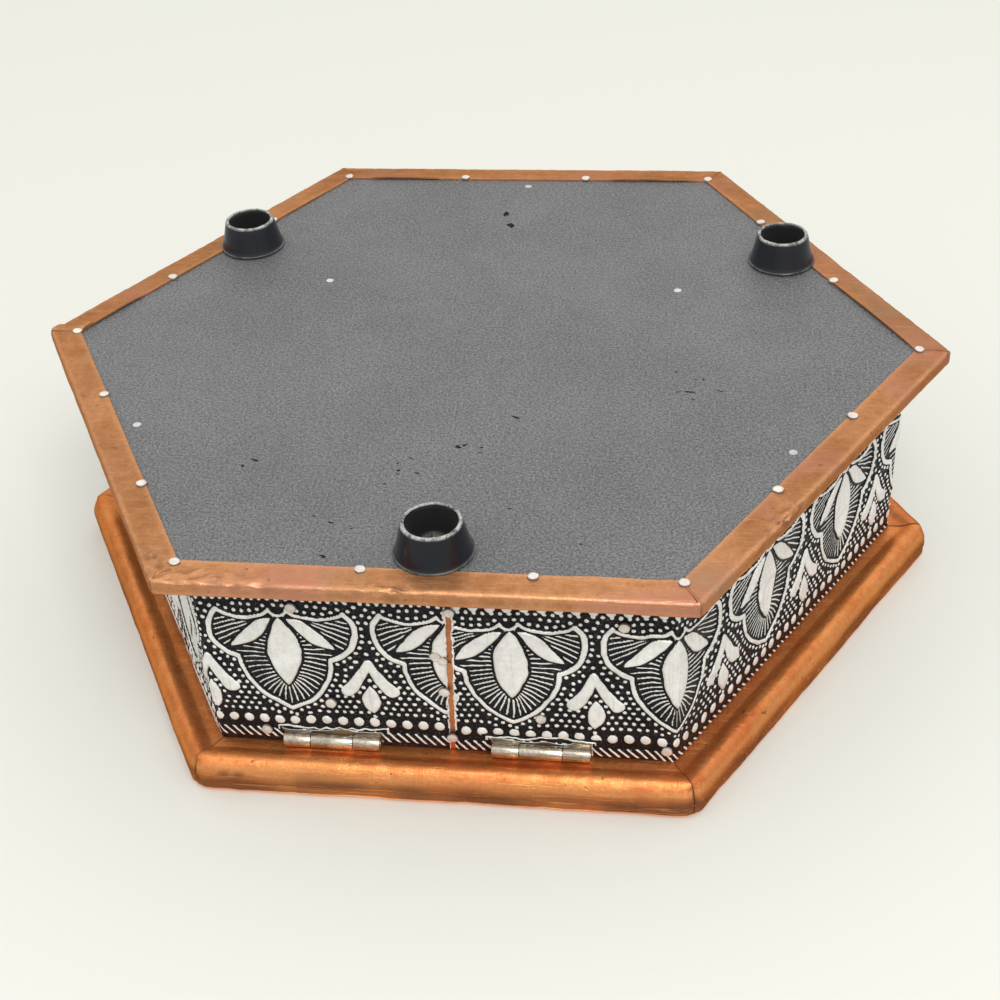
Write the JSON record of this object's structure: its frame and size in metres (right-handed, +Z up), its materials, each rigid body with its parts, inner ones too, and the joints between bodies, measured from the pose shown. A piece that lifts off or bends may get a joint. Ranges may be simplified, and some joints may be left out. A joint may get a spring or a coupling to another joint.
{
  "type": "hexagonal trinket box",
  "caption": "Six-sided trinket box with a hinged lid, embossed metal walls, copper edges and hollow feet.",
  "frame": {"origin": "on the plane that the feet stand on, under the middle of the hexagon", "axes": "+Z up; -Y is the front, which opens; the hinges are on the +Y side; +X runs corner to corner"},
  "size_m": [0.2006, 0.1738, 0.0617],
  "materials": {
    "base_copper": "aged copper sheet, satin with handling marks",
    "lid_copper": "polished copper sheet, warm and slightly pitted",
    "seam_copper": "bare copper strip",
    "embossed_sheet": "embossed sheet with blackened ground and rubbed high places",
    "black_board": "black painted board with a fine speckle",
    "board_wood": "plain board",
    "velvet": "dark red velvet on thin card",
    "foot_black": "moulded black plastic with worn rim",
    "screw_steel": "dull zinc plated",
    "tack_metal": "domed tack heads, dull silver",
    "hinge_nickel": "nickel plated, slightly yellowed",
    "nail_steel": "bright steel nails"
  },
  "bodies": {
    "box": {"base_board": "black_board", "base_strip_front": "base_copper", "base_strip_front_left": "base_copper", "base_strip_front_right": "base_copper", "base_strip_rear": "base_copper", "base_strip_rear_left": "base_copper", "base_strip_rear_right": "base_copper", "base_tacks": "tack_metal", "board_nails": "nail_steel", "embossed_band": "embossed_sheet", "floor_lining": "velvet", "foot_front_left": "foot_black", "foot_front_right": "foot_black", "foot_rear": "foot_black", "foot_screws": "screw_steel", "hinge_box_leaf_left": "hinge_nickel", "hinge_box_leaf_right": "hinge_nickel", "hinge_box_nails": "hinge_nickel", "hinge_pin_left": "hinge_nickel", "hinge_pin_right": "hinge_nickel", "seam_strip": "seam_copper", "short_nails": "nail_steel", "wall_front": "board_wood", "wall_front_left": "board_wood", "wall_front_right": "board_wood", "wall_lining": "velvet", "wall_rear": "board_wood", "wall_rear_left": "board_wood", "wall_rear_right": "board_wood", "wall_tacks": "tack_metal"},
    "lid": {"hinge_lid_leaf_left": "hinge_nickel", "hinge_lid_leaf_right": "hinge_nickel", "hinge_lid_nails": "hinge_nickel", "lid_board": "board_wood", "lid_edge_front": "lid_copper", "lid_edge_front_left": "lid_copper", "lid_edge_front_right": "lid_copper", "lid_edge_rear": "lid_copper", "lid_edge_rear_left": "lid_copper", "lid_edge_rear_right": "lid_copper", "lid_pad": "velvet", "lid_panel": "embossed_sheet", "lid_tacks": "tack_metal"}
  },
  "joints": [
    {"name": "lid_hinge", "type": "hinge", "parent": "box", "child": "lid", "pos_m": [0, 0.07965, 0.05245], "axis": [-1, 0, 0], "range_deg": [0, 102]}
  ]
}
